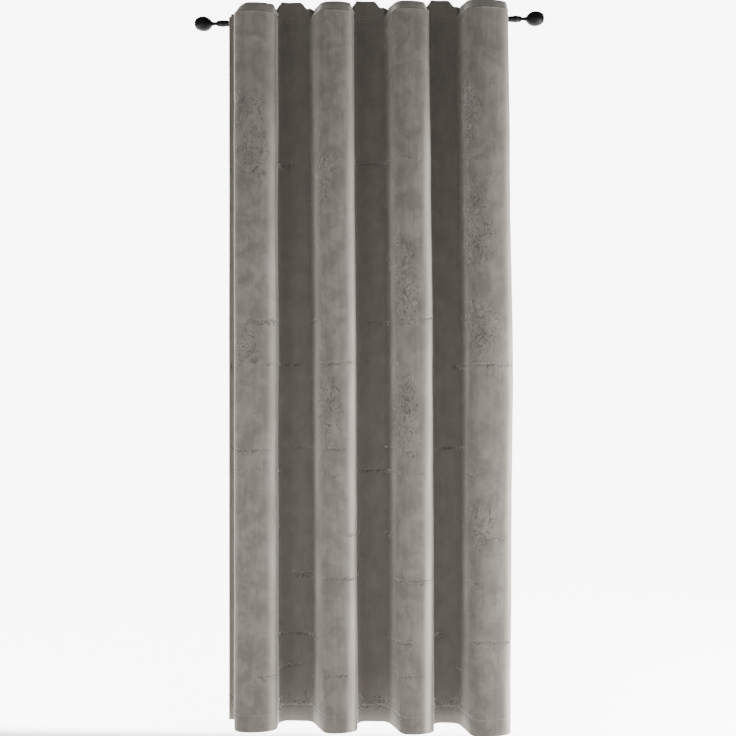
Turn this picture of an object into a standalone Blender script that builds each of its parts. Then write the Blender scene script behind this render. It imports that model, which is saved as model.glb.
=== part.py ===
"""A velvet window curtain panel hanging by five back tabs on a round rod with screw-on finials.

Metres, +Z up. The origin is the middle of the rod's axis, +X runs along the rod and -Y faces the room.
"""

import math

import bmesh
import bpy
from mathutils import Vector

# Cloth
FLAT_WIDTH = 1.321  # finished width laid flat, 52 in
PANEL_HEIGHT = 2.134  # header top to foot, 84 in
CLOTH_THICKNESS = 0.0016
HEADER_HEIGHT = 0.058  # header top to the header seam
HEADER_ABOVE_ROD = 0.053  # header top to the rod's axis
BOTTOM_HEM_HEIGHT = 0.048
SIDE_HEM_WIDTH = 0.020
SEAM_ALLOWANCE = 0.004  # turned cloth past its row of stitches

# Folds, seen from above. Faces and corners keep their share of the pitch.
FRONT_FOLDS = 4
FOLD_PITCH = 0.2190
FACE_WIDTH = FOLD_PITCH * 0.365  # gently crowned front of each fold
FACE_CROWN = math.radians(8)
LEFT_FLANK = math.radians(70)
RIGHT_FLANK = math.radians(91)
FIRST_FLANK = math.radians(76)  # left flank of the first fold
LAST_FLANK = math.radians(98)  # right flank of the last fold
BACK_LEFT_RADIUS = FOLD_PITCH * 0.119  # back fold to left flank
FRONT_LEFT_RADIUS = FOLD_PITCH * 0.128  # left flank to face
FRONT_RIGHT_RADIUS = FOLD_PITCH * 0.073  # face to right flank
BACK_RIGHT_RADIUS = FOLD_PITCH * 0.128  # right flank to back fold
EDGE_RADIUS = 0.010  # outer flanks to the side edges
EDGE_FLAT = 0.010  # side edges that lie along the rod
HEADER_LEAN = math.radians(46)  # how far the header tips back over a front fold
ARC_STEP = math.radians(12)

# Back tabs
TAB_WIDTH = 0.026
TAB_TOP_FLANGE = (0.025, 0.0135)  # heights of the upper sewn end
TAB_BOTTOM_FLANGE = (-0.0170, -0.0340)  # heights of the lower sewn end

# Stitching
THREAD_THICKNESS = 0.0005
THREAD_HEIGHT = 0.0012

# Rod and finials
ROD_RADIUS = 0.008
ROD_WALL = 0.001
ROD_LENGTH = 0.890
INSERT_LENGTH = 0.024
STUD_RADIUS = 0.003
STUD_IN_INSERT = 0.016
STUD_IN_KNOB = 0.022
COLLAR_SLEEVE = 0.023  # collar length over the rod
COLLAR_END_WALL = 0.006
COLLAR_END_RADIUS = 0.0088
COLLAR_BEAD_RADIUS = 0.0096
NECK_RADIUS = 0.0047
NECK_LENGTH = 0.010
KNOB_RADIUS = 0.0205
KNOB_LENGTH = 0.058
KNOB_FULLEST = 0.42  # place of the widest turn, from the neck end
TIP_RADIUS = 0.0022

CLEARANCE = 0.0003  # between pieces that touch
LAYER_GAP = CLOTH_THICKNESS * 0.32  # between layers of cloth, which don't lie quite flat
ROUND_SIDES = 32

seam_z = HEADER_ABOVE_ROD - HEADER_HEIGHT
foot_z = HEADER_ABOVE_ROD - PANEL_HEIGHT
layer = CLOTH_THICKNESS + LAYER_GAP
# The header is two layers in front of the rod.
band_y = -(ROD_RADIUS + CLEARANCE + CLOTH_THICKNESS / 2)
back_y = band_y - layer


def clear_scene():
    for obj in list(bpy.data.objects):
        bpy.data.objects.remove(obj, do_unlink=True)


def finish(name, colour, roughness, metallic=0.0):
    """A Principled material of one colour."""
    material = bpy.data.materials.new(name)
    material.use_nodes = True
    shader = material.node_tree.nodes["Principled BSDF"]
    shader.inputs["Base Color"].default_value = (*colour, 1.0)
    shader.inputs["Roughness"].default_value = roughness
    shader.inputs["Metallic"].default_value = metallic
    return material


def add_object(name, bm, material, smooth_angle=35):
    """Turns a closed bmesh, its faces pointing out, into a named object."""
    mesh = bpy.data.meshes.new(name)
    bm.to_mesh(mesh)
    bm.free()
    mesh.shade_smooth()
    mesh.set_sharp_from_angle(angle=math.radians(smooth_angle))
    mesh.materials.append(material)
    obj = bpy.data.objects.new(name, mesh)
    bpy.context.collection.objects.link(obj)
    return obj


# Fold route: straight runs and arcs in plan. A heading of 0 runs along +X, a negative one comes forward.


def arc_shift(radius, start, end):
    """X and Y covered by an arc between two headings."""
    signed = radius if end > start else -radius
    return signed * (math.sin(end) - math.sin(start)), signed * (math.cos(start) - math.cos(end))


def run_length(depth, flank, radii_and_headings):
    """Length of the straight flank left once its two corners have taken their share of the depth."""
    taken = sum(abs(arc_shift(*corner)[1]) for corner in radii_and_headings)
    return (depth - taken) / math.sin(flank)


def route_pieces(depth):
    """The cloth from its left edge to its right edge: (length, start heading, end heading)."""
    left_corners = [(BACK_LEFT_RADIUS, 0, -LEFT_FLANK), (FRONT_LEFT_RADIUS, -LEFT_FLANK, -FACE_CROWN)]
    right_corners = [(FRONT_RIGHT_RADIUS, FACE_CROWN, RIGHT_FLANK), (BACK_RIGHT_RADIUS, RIGHT_FLANK, 0)]
    first_corners = [(EDGE_RADIUS, 0, -FIRST_FLANK), (FRONT_LEFT_RADIUS, -FIRST_FLANK, -FACE_CROWN)]
    last_corners = [(FRONT_RIGHT_RADIUS, FACE_CROWN, LAST_FLANK), (EDGE_RADIUS, LAST_FLANK, 0)]
    left_run = run_length(depth, LEFT_FLANK, left_corners)
    right_run = run_length(depth, RIGHT_FLANK, right_corners)

    def corner(radius, start, end):
        return (radius * abs(end - start), start, end)

    face = (FACE_WIDTH, -FACE_CROWN, FACE_CROWN)
    face_x = FACE_WIDTH * math.sin(FACE_CROWN) / FACE_CROWN
    covered = sum(arc_shift(*c)[0] for c in left_corners + right_corners) + face_x
    covered += left_run * math.cos(LEFT_FLANK) + right_run * math.cos(RIGHT_FLANK)
    back = (FOLD_PITCH - covered, 0, 0)

    edge = (EDGE_FLAT, 0, 0)
    first_run = run_length(depth, FIRST_FLANK, first_corners)
    last_run = run_length(depth, LAST_FLANK, last_corners)
    pieces = [edge, corner(*first_corners[0]), (first_run, -FIRST_FLANK, -FIRST_FLANK), corner(*first_corners[1])]
    for fold in range(FRONT_FOLDS - 1):
        pieces += [face, corner(*right_corners[0]), (right_run, RIGHT_FLANK, RIGHT_FLANK)]
        pieces += [corner(*right_corners[1]), back, corner(*left_corners[0])]
        pieces += [(left_run, -LEFT_FLANK, -LEFT_FLANK), corner(*left_corners[1])]
    pieces += [face, corner(*last_corners[0]), (last_run, LAST_FLANK, LAST_FLANK), corner(*last_corners[1]), edge]
    return pieces


def fold_depth():
    """The depth at which the folds use up the whole flat width."""
    low, high = 0.0, FLAT_WIDTH
    for _ in range(60):
        middle = (low + high) / 2
        if sum(piece[0] for piece in route_pieces(middle)) < FLAT_WIDTH:
            low = middle
        else:
            high = middle
    return (low + high) / 2


def walk(pieces):
    """Points along the cloth as (distance, x, y, heading), with the outer edges centred on the rod."""
    along, x, y = 0.0, 0.0, back_y
    stations = [(along, x, y, pieces[0][1])]
    for length, start, end in pieces:
        steps = max(1, math.ceil(abs(end - start) / ARC_STEP))
        for step in range(steps):
            heading = start + (end - start) * (step + 0.5) / steps
            bend = abs(end - start) / steps / 2
            chord = length / steps * (math.sin(bend) / bend if bend else 1.0)
            x += chord * math.cos(heading)
            y += chord * math.sin(heading)
            along += length / steps
            stations.append((along, x, y, start + (end - start) * (step + 1) / steps))
    middle = (min(s[1] for s in stations) + max(s[1] for s in stations)) / 2
    return [(s, px - middle, py, heading) for s, px, py, heading in stations]


def tab_places(stations):
    """One tab just inside each side edge and one at the middle of each back fold."""
    flats = [
        (a[1] + b[1]) / 2
        for a, b in zip(stations, stations[1:])
        if a[3] == b[3] == 0 and abs(a[2] - back_y) < CLEARANCE
    ]
    inset = TAB_WIDTH / 2
    return [stations[0][1] + inset] + flats[1:-1] + [stations[-1][1] - inset]


# Sheets: a grid of mid-surface points given a thickness. Rows run upwards and each runs along the cloth.


def grid_normals(rows):
    """The direction out of the front at each point, halfway between its neighbours' faces."""
    def mean_direction(before, point, after):
        return sum(((b - a).normalized() for a, b in ((before, point), (point, after)) if b != a), Vector())

    normals = []
    last_r, last_c = len(rows) - 1, len(rows[0]) - 1
    for r, row in enumerate(rows):
        line = []
        for c, point in enumerate(row):
            across = mean_direction(row[max(c - 1, 0)], point, row[min(c + 1, last_c)])
            up = mean_direction(rows[max(r - 1, 0)][c], point, rows[min(r + 1, last_r)][c])
            line.append(across.cross(up).normalized())
        normals.append(line)
    return normals


def offset_rows(rows, distance):
    """The same grid moved out of its front by a distance, or behind it where that is negative."""
    normals = grid_normals(rows)
    return [[p + n * distance for p, n in zip(row, line)] for row, line in zip(rows, normals)]


def sheet_solid(name, rows, thickness, material):
    """A closed solid from a grid of mid-surface points, thickened half to each side."""
    count_r, count_c = len(rows), len(rows[0])
    bm = bmesh.new()
    sides = [offset_rows(rows, thickness / 2), offset_rows(rows, -thickness / 2)]
    front, back = [[[bm.verts.new(p) for p in row] for row in side] for side in sides]
    for r in range(count_r - 1):
        for c in range(count_c - 1):
            # Both sides split along the same diagonal, so layers stay parallel where the cloth twists.
            bm.faces.new((front[r][c], front[r][c + 1], front[r + 1][c + 1]))
            bm.faces.new((front[r][c], front[r + 1][c + 1], front[r + 1][c]))
            bm.faces.new((back[r][c], back[r + 1][c + 1], back[r][c + 1]))
            bm.faces.new((back[r][c], back[r + 1][c], back[r + 1][c + 1]))
    rim = [(0, c) for c in range(count_c)] + [(r, count_c - 1) for r in range(1, count_r)]
    rim += [(count_r - 1, c) for c in range(count_c - 2, -1, -1)] + [(r, 0) for r in range(count_r - 2, 0, -1)]
    for (r0, c0), (r1, c1) in zip(rim, rim[1:] + rim[:1]):
        bm.faces.new((front[r0][c0], back[r0][c0], back[r1][c1], front[r1][c1]))
    return add_object(name, bm, material)


def part_of(stations, start, end):
    """The stretch of the route between two distances, with its cut ends worked out."""
    def at(distance):
        for a, b in zip(stations, stations[1:]):
            if a[0] <= distance <= b[0] and b[0] > a[0]:
                share = (distance - a[0]) / (b[0] - a[0])
                return tuple(p + (q - p) * share for p, q in zip(a, b))
        return stations[-1]

    inside = [s for s in stations if start < s[0] < end]
    return [at(start)] + inside + [at(end)]


def hanging_rows(stations, heights):
    """Rows of points straight below the header seam."""
    return [[Vector((x, y, z)) for _, x, y, _ in stations] for z in heights]


def header_rows(stations, depth, shares):
    """Rows above the seam, which tip back towards the rod over each front fold."""
    rows = []
    for share in shares:
        rise = HEADER_HEIGHT * share
        leans = [HEADER_LEAN * min(1.0, max(0.0, (back_y - y) / depth)) for _, _, y, _ in stations]
        rows.append([
            Vector((x, y + rise * math.sin(lean), seam_z + rise * math.cos(lean)))
            for (_, x, y, _), lean in zip(stations, leans)
        ])
    return rows


def make_cloth(stations, depth, velvet):
    """The panel cloth, and the header turned over behind its top."""
    foot = hanging_rows(stations, (foot_z, foot_z + BOTTOM_HEM_HEIGHT, foot_z / 2))
    head = hanging_rows(stations, (seam_z - SEAM_ALLOWANCE, seam_z)) + header_rows(stations, depth, (0.5, 1.0))
    sheet_solid("panel_cloth", foot + head, CLOTH_THICKNESS, velvet)
    sheet_solid("header_band", offset_rows(head, -layer), CLOTH_THICKNESS, velvet)


def make_hems(stations, velvet):
    """The foot and sides turned over to the back."""
    hem_top = foot_z + BOTTOM_HEM_HEIGHT + SEAM_ALLOWANCE
    hem = hanging_rows(stations, (foot_z, hem_top))
    sheet_solid("bottom_hem", offset_rows(hem, -layer), CLOTH_THICKNESS, velvet)
    heights = (hem_top + CLEARANCE, TAB_BOTTOM_FLANGE[1] - CLEARANCE)
    end = stations[-1][0]
    for word, stretch in (("left", (0, SIDE_HEM_WIDTH)), ("right", (end - SIDE_HEM_WIDTH, end))):
        side = hanging_rows(part_of(stations, *stretch), heights)
        sheet_solid(f"side_hem_{word}", offset_rows(side, -layer), CLOTH_THICKNESS, velvet)


def make_threads(stations, thread):
    """Rows of stitching that lie on the front of the cloth."""
    lift = CLOTH_THICKNESS / 2 + CLEARANCE + THREAD_THICKNESS / 2
    header = seam_z - SEAM_ALLOWANCE / 2
    hem = foot_z + BOTTOM_HEM_HEIGHT
    for word, top in (("header", header), ("bottom", hem)):
        row = offset_rows(hanging_rows(stations, (top - THREAD_HEIGHT, top)), lift)
        sheet_solid(f"{word}_seam_thread", row, THREAD_THICKNESS, thread)
    heights = (hem + CLEARANCE, header - THREAD_HEIGHT - CLEARANCE)
    inset = SIDE_HEM_WIDTH - SEAM_ALLOWANCE
    end = stations[-1][0]
    for word, start in (("left", inset), ("right", end - inset - THREAD_HEIGHT)):
        side = hanging_rows(part_of(stations, start, start + THREAD_HEIGHT), heights)
        sheet_solid(f"side_seam_thread_{word}", offset_rows(side, lift), THREAD_THICKNESS, thread)


def tab_profile():
    """The tab's mid-line from the side: down the header band, round behind the rod, and onto the cloth."""
    loop = ROD_RADIUS + CLEARANCE + CLOTH_THICKNESS / 2
    on_band = band_y + layer
    on_cloth = back_y + layer
    points = [(on_band, TAB_TOP_FLANGE[0]), (on_band, TAB_TOP_FLANGE[1])]
    points.append((on_band / 2, (TAB_TOP_FLANGE[1] + loop) / 2))
    for step in range(13):
        turn = math.radians(100 - 190 * step / 12)
        points.append((loop * math.cos(turn), loop * math.sin(turn)))
    points.append((on_cloth * 0.6, (TAB_BOTTOM_FLANGE[0] - loop) / 2 - CLEARANCE))
    points += [(on_cloth, TAB_BOTTOM_FLANGE[0]), (on_cloth, TAB_BOTTOM_FLANGE[1])]
    return points


def make_tabs(places, tab_cloth):
    for number, x in enumerate(places, start=1):
        sides = (x + TAB_WIDTH / 2, x - TAB_WIDTH / 2)
        rows = [[Vector((side, y, z)) for side in sides] for y, z in tab_profile()]
        sheet_solid(f"back_tab_{number}", rows, CLOTH_THICKNESS, tab_cloth)


# Turned pieces on the rod's axis.


def turned(name, outline, material, side=1):
    """A solid turned about the X axis from (x, radius) points: a closed ring, or a solid where it meets the axis."""
    bm = bmesh.new()
    rings = []
    for x, radius in outline:
        if radius == 0:
            rings.append([bm.verts.new((side * x, 0, 0))])
            continue
        angles = (math.tau * k / ROUND_SIDES for k in range(ROUND_SIDES))
        ring = [bm.verts.new((side * x, radius * math.cos(a), radius * math.sin(a))) for a in angles]
        rings.append(ring)
    closed = outline[0][1] > 0
    pairs = list(zip(rings, rings[1:])) + ([(rings[-1], rings[0])] if closed else [])
    for a, b in pairs:
        for k in range(ROUND_SIDES):
            n = (k + 1) % ROUND_SIDES
            corners = [a[k % len(a)], a[n % len(a)], b[n % len(b)], b[k % len(b)]]
            bm.faces.new(list(dict.fromkeys(corners)))
    bmesh.ops.recalc_face_normals(bm, faces=bm.faces)
    return add_object(name, bm, material)


def make_rod(black_steel, nylon):
    half = ROD_LENGTH / 2
    inner = ROD_RADIUS - ROD_WALL
    turned("rod_tube", [(-half, inner), (half, inner), (half, ROD_RADIUS), (-half, ROD_RADIUS)], black_steel)
    bore = STUD_RADIUS + CLEARANCE
    plug = inner - CLEARANCE
    start = half - INSERT_LENGTH
    for word, side in (("left", -1), ("right", 1)):
        outline = [(start, bore), (half, bore), (half, plug), (start, plug)]
        turned(f"rod_insert_{word}", outline, nylon, side)


def collar_outline():
    """A barrel-shaped sleeve over the rod's end, closed by a wall with a hole for the stud."""
    half = ROD_LENGTH / 2
    sleeve = ROD_RADIUS + CLEARANCE
    start = half - COLLAR_SLEEVE
    wall_start = half + CLEARANCE
    end = half + COLLAR_END_WALL
    bore = STUD_RADIUS + CLEARANCE
    outline = [(start, sleeve), (wall_start, sleeve), (wall_start, bore), (end, bore)]
    for step in range(9):
        share = step / 8
        swell = (COLLAR_BEAD_RADIUS - COLLAR_END_RADIUS) * math.sin(math.pi * share)
        outline.append((end + (start - end) * share, COLLAR_END_RADIUS + swell))
    return outline


def knob_outline():
    """A neck that swells into an egg, fullest near the neck, with a blind hole for the stud."""
    start = ROD_LENGTH / 2 + COLLAR_END_WALL + CLEARANCE
    bore = STUD_RADIUS + CLEARANCE
    outline = [(start, bore), (start, NECK_RADIUS * 1.35), (start + NECK_LENGTH * 0.4, NECK_RADIUS)]
    egg_start = start + NECK_LENGTH
    steps = 16
    for step in range(1, steps):
        share = (1 - math.cos(math.pi * step / steps)) / 2
        skew = share ** (math.log(0.5) / math.log(KNOB_FULLEST))
        radius = KNOB_RADIUS * math.sin(math.pi * skew) ** 0.82
        outline.append((egg_start + KNOB_LENGTH * share, max(radius, NECK_RADIUS if step < steps / 2 else TIP_RADIUS)))
    end = egg_start + KNOB_LENGTH
    outline += [(end, TIP_RADIUS), (end + TIP_RADIUS, 0)]
    hole_end = start + STUD_IN_KNOB + CLEARANCE
    return [(hole_end, 0), (hole_end, bore)] + outline


def make_finials(black_steel, black_resin, bare_steel):
    half = ROD_LENGTH / 2
    stud_start = half - STUD_IN_INSERT
    stud_end = half + COLLAR_END_WALL + CLEARANCE + STUD_IN_KNOB
    stud = [(stud_start, 0), (stud_start, STUD_RADIUS), (stud_end, STUD_RADIUS), (stud_end, 0)]
    for word, side in (("left", -1), ("right", 1)):
        turned(f"finial_collar_{word}", collar_outline(), black_steel, side)
        turned(f"finial_stud_{word}", stud, bare_steel, side)
        turned(f"finial_knob_{word}", knob_outline(), black_resin, side)


def main():
    clear_scene()
    velvet = finish("velvet", (0.165, 0.155, 0.140), 0.9)
    tab_cloth = finish("tab_cloth", (0.150, 0.141, 0.128), 0.92)
    thread = finish("thread", (0.200, 0.190, 0.172), 0.7)
    black_steel = finish("black_steel", (0.012, 0.012, 0.013), 0.38, 0.6)
    black_resin = finish("black_resin", (0.010, 0.010, 0.011), 0.30)
    bare_steel = finish("bare_steel", (0.55, 0.55, 0.56), 0.35, 1.0)
    nylon = finish("nylon", (0.62, 0.60, 0.55), 0.55)

    depth = fold_depth()
    stations = walk(route_pieces(depth))
    make_cloth(stations, depth, velvet)
    make_hems(stations, velvet)
    make_threads(stations, thread)
    make_tabs(tab_places(stations), tab_cloth)
    make_rod(black_steel, nylon)
    make_finials(black_steel, black_resin, bare_steel)


main()
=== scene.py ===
import math

import bpy
import numpy as np
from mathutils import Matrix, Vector, noise


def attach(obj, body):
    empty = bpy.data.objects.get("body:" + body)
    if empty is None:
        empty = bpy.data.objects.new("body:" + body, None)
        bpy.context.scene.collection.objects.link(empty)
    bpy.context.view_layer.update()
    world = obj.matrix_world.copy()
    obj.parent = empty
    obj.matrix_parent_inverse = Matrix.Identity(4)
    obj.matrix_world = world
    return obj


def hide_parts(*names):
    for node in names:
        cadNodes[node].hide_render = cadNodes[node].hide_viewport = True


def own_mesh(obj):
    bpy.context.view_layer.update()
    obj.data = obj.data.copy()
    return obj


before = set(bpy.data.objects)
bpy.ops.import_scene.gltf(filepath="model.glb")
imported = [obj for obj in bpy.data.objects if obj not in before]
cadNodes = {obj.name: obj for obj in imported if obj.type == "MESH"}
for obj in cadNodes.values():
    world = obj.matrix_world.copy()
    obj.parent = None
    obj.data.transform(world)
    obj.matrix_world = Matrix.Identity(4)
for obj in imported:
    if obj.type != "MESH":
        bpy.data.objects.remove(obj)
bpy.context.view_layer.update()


# sRGB hex to the linear values the shaders use
def linearColour(hexText):
    values = [int(hexText[i : i + 2], 16) / 255 for i in (1, 3, 5)]
    linear = [v / 12.92 if v <= 0.04045 else ((v + 0.055) / 1.055) ** 2.4 for v in values]
    return (*linear, 1.0)


def addNode(tree, kind, place, settings=None, values=None, links=None):
    node = tree.nodes.new(kind)
    node.location = place
    for name, value in (settings or {}).items():
        setattr(node, name, value)
    for socket, value in (values or {}).items():
        node.inputs[socket].default_value = value
    for socket, source in (links or {}).items():
        tree.links.new(source, node.inputs[socket])
    return node


def newMaterial(name, values):
    material = bpy.data.materials.new(name)
    material.use_nodes = True
    shader = material.node_tree.nodes["Principled BSDF"]
    for socket, value in values.items():
        shader.inputs[socket].default_value = value
    return material, material.node_tree, shader


def newPiece(name, vertices, faces):
    mesh = bpy.data.meshes.new(name)
    mesh.from_pydata(vertices, [], faces)
    mesh.shade_smooth()
    obj = bpy.data.objects.new(name, mesh)
    bpy.context.collection.objects.link(obj)
    return obj


# Route of the cloth seen from above, in metres and degrees. A heading of 0 runs along +X, and a
# negative one comes forward.
cloth = {
    "flatWidth": 1.321,
    "height": 2.134,
    "footHeight": -2.081,
    "seamHeight": 2.076,  # above the foot, as all heights here
    "hemHeight": 0.048,
    "sideHem": 0.020,
    "allowance": 0.004,
    "layer": 0.0021,
    "backY": -0.0112,
    "leftEdge": -0.4150,
    "edgeFlat": 0.011,
    "edgeRadius": 0.010,
    "crownLeft": 9,
    "crownRight": 32,
    "faceWidth": 0.078,
    "frontLeftRadius": 0.026,
    "frontRightRadius": 0.015,
    "backLeftRadius": 0.026,
    "backRightRadius": 0.026,
    "firstFlank": 88,
    "firstFaceExtra": 0.012,
    "lastFlank": 104,
    "leftFlanks": (62, 62, 63),
    "rightFlanks": (96, 94, 91),
    "ridgeInset": 0.004,  # the soft ridge beside each left corner, its wave and how soon it fades
    "ridgeWave": 0.0095,
    "ridgeFade": 0.011,
    "blur": 0.0045,  # the velvet's thickness rounds every bend
    "tabPlaces": (-0.2153, 0.0037, 0.2227),
    "tabPitch": 0.219,
}

# Pitch of each fold and the whole width, at heights above the foot
routeKeys = [
    {"height": 0.00, "pitches": (0.228, 0.226, 0.214), "width": 0.8320, "ridge": 5.0},
    {"height": 0.55, "pitches": (0.226, 0.225, 0.219), "width": 0.8350, "ridge": 6.5},
    {"height": 1.08, "pitches": (0.224, 0.224, 0.221), "width": 0.8390, "ridge": 8.0},
    {"height": 1.62, "pitches": (0.221, 0.222, 0.219), "width": 0.8310, "ridge": 8.0},
    {"height": 2.05, "pitches": (0.219, 0.219, 0.219), "width": 0.8246, "ridge": 6.0},
    {"height": 2.14, "pitches": (0.219, 0.219, 0.219), "width": 0.8246, "ridge": 3.0},
]


def smooth(value):
    value = np.clip(value, 0, 1)
    return value * value * (3 - 2 * value)


def bell(distance, width):
    return np.exp(-((distance / width) ** 2))


# X and Y taken by a rounded corner between two headings
def cornerSpan(radius, start, end):
    return radius * abs(math.sin(end) - math.sin(start)), radius * abs(math.cos(start) - math.cos(end))


# The cloth from its left edge to its right one: (length, start heading, end heading, kind)
def routePieces(depth, key):
    crownIn = -math.radians(cloth["crownLeft"])
    crownOut = math.radians(cloth["crownRight"])
    faceTurn = crownOut - crownIn
    faceX = cloth["faceWidth"] * (math.sin(crownOut) - math.sin(crownIn)) / faceTurn
    faceY = cloth["faceWidth"] * (math.cos(crownIn) - math.cos(crownOut)) / faceTurn

    def side(angle, backRadius, frontRadius, crown, total):
        backX, backY = cornerSpan(backRadius, 0, angle)
        frontX, frontY = cornerSpan(frontRadius, angle, crown)
        run = (total - backY - frontY) / abs(math.sin(angle))
        covered = backX + frontX + run * math.cos(angle)
        return run, covered, backRadius * abs(angle), frontRadius * abs(angle - crown)

    def leftSide(degrees, radius):
        angle = -math.radians(degrees)
        run, covered, back, front = side(angle, radius, cloth["frontLeftRadius"], crownIn, depth)
        pieces = [(back, 0, angle, "corner"), (run, angle, angle, "flank")]
        return pieces + [(front, angle, crownIn, "leftCorner")], covered

    def rightSide(degrees, radius):
        angle = math.radians(degrees)
        run, covered, back, front = side(angle, radius, cloth["frontRightRadius"], crownOut, depth - faceY)
        pieces = [(front, crownOut, angle, "corner"), (run, angle, angle, "flank")]
        return pieces + [(back, angle, 0, "corner")], covered

    edge = (cloth["edgeFlat"], 0, 0, "edge")
    firstSide, firstX = leftSide(cloth["firstFlank"], cloth["edgeRadius"])
    lastSide, lastX = rightSide(cloth["lastFlank"], cloth["edgeRadius"])
    pieces = [edge] + firstSide
    for fold, pitch in enumerate(key["pitches"]):
        right, rightX = rightSide(cloth["rightFlanks"][fold], cloth["backRightRadius"])
        left, leftX = leftSide(cloth["leftFlanks"][fold], cloth["backLeftRadius"])
        extra = cloth["firstFaceExtra"] if fold == 0 else 0
        pieces.append((cloth["faceWidth"] + extra, crownIn, crownOut, "face"))
        pieces += right
        pieces.append((pitch - faceX - rightX - leftX, 0, 0, "back"))
        pieces += left
    lastFaceX = key["width"] - 2 * cloth["edgeFlat"] - firstX - lastX - sum(key["pitches"])
    pieces.append((cloth["faceWidth"] * lastFaceX / faceX, crownIn, crownOut, "face"))
    return pieces + lastSide + [edge]


def solveDepth(key):
    low, high = 0.05, 0.15
    for _ in range(40):
        middle = (low + high) / 2
        used = sum(piece[0] for piece in routePieces(middle, key))
        low, high = (middle, high) if used < cloth["flatWidth"] else (low, middle)
    return (low + high) / 2


# Position of every millimetre of the cloth's width at one height, and the pieces that it crosses
def walkRoute(key):
    pieces = routePieces(solveDepth(key), key)
    ends = np.cumsum([0.0] + [piece[0] for piece in pieces])
    along = np.linspace(0, cloth["flatWidth"], 1322)
    ends *= cloth["flatWidth"] / ends[-1]
    spans = list(zip(pieces, ends, ends[1:]))
    heading = np.zeros_like(along)
    for (_, start, end, kind), low, high in spans:
        inside = (along >= low) & (along <= high)
        heading[inside] = start + (end - start) * (along[inside] - low) / (high - low)
        if kind == "leftCorner":
            past = along - high + cloth["ridgeInset"]
            ridge = np.sin(past / cloth["ridgeWave"] * math.tau) * bell(past, cloth["ridgeFade"])
            heading += math.radians(key["ridge"]) * ridge
    reach = np.arange(-20, 21) * 0.001
    kernel = np.exp(-((reach / cloth["blur"]) ** 2) / 2)
    heading = np.convolve(np.pad(heading, 20, mode="edge"), kernel / kernel.sum(), mode="valid")
    step = np.diff(along)
    middle = (heading[1:] + heading[:-1]) / 2
    x = np.concatenate([[0], np.cumsum(step * np.cos(middle))]) + cloth["leftEdge"]
    y = np.concatenate([[0], np.cumsum(step * np.sin(middle))]) + cloth["backY"]
    # Each back fold and both edges are pinned where the tabs hold them
    backs = [(low + high) / 2 for piece, low, high in spans if piece[3] == "back"]
    pins = [0.0] + backs + [cloth["flatWidth"]]
    wanted = [cloth["leftEdge"]]
    for number, place in enumerate(cloth["tabPlaces"], start=1):
        wanted.append(place + sum(key["pitches"][:number]) - cloth["tabPitch"] * number)
    wanted.append(cloth["leftEdge"] + key["width"])
    x += np.interp(along, pins, np.array(wanted) - np.interp(pins, along, x))
    y += np.interp(along, pins, cloth["backY"] - np.interp(pins, along, y))
    return along, x, y, spans


walked = [walkRoute(key) for key in routeKeys]
along = walked[0][0]
middleSpans = walked[2][3]
print("route: depths", [round(float(cloth["backY"] - w[2].min()), 4) for w in walked])


# Columns close together round the corners
columnSteps = {"edge": 0.0025, "corner": 0.0032, "leftCorner": 0.0026}
columnSteps.update({"flank": 0.0065, "face": 0.0046, "back": 0.0052})
columns = [0.0]
for piece, low, high in middleSpans:
    count = max(2, round((high - low) / columnSteps[piece[3]]))
    columns += list(np.linspace(low, high, count + 1)[1:])
columns = np.array(columns)

# Heights of the packing creases above the foot, with their depth in metres
creases = [(0.165, 0.0006), (0.262, 0.0008), (0.44, 0.0007), (0.565, 0.0012), (0.745, 0.0008)]
creases += [(0.815, 0.0012), (1.06, 0.0012), (1.185, 0.0009), (1.65, 0.0007)]


def rowStep(height):
    if height < 0.005 or height > cloth["height"] - 0.0065:
        return 0.0015
    if abs(height - cloth["hemHeight"]) < 0.007 or abs(height - cloth["seamHeight"]) < 0.007:
        return 0.0018
    if height < 0.056 or height > cloth["seamHeight"] - 0.01:
        return 0.0038
    if any(abs(height - place) < 0.011 for place, _ in creases):
        return 0.0025
    return 0.0125


heights = [0.0]
while heights[-1] < cloth["height"] - 0.0008:
    heights.append(heights[-1] + rowStep(heights[-1]))
heights = np.array(heights) * cloth["height"] / heights[-1]


# Perlin noise over the whole grid, in cycles per metre across and up
def gridNoise(across, up, seed):
    values = [[noise.noise((s * across, h * up, seed)) for s in columns] for h in heights]
    return np.array(values)


# Header: the band above the seam, which stands up between the rod and the front folds
header = {
    "lean": 47,  # degrees, at the fold fronts
    "leanSway": 4,
    "leanDepth": 0.032,  # the lean comes in over this depth, in front of the clear part
    "clear": 0.008,
    "edgeClear": 0.007,  # more behind the outer tabs
    "edgeReach": 0.075,
    "edgeFade": 0.025,
    "gather": 0.22,
    "trim": 0.0030,
    "trimSway": 0.0012,
    "notch": 0.022,
    "lastDip": 0.020,
    "tuckReach": 0.055,
    "tuckFade": 0.040,
    "tuckStart": 0.034,
    "tuckMove": (-0.5775, -0.10, -0.30),
}


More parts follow.
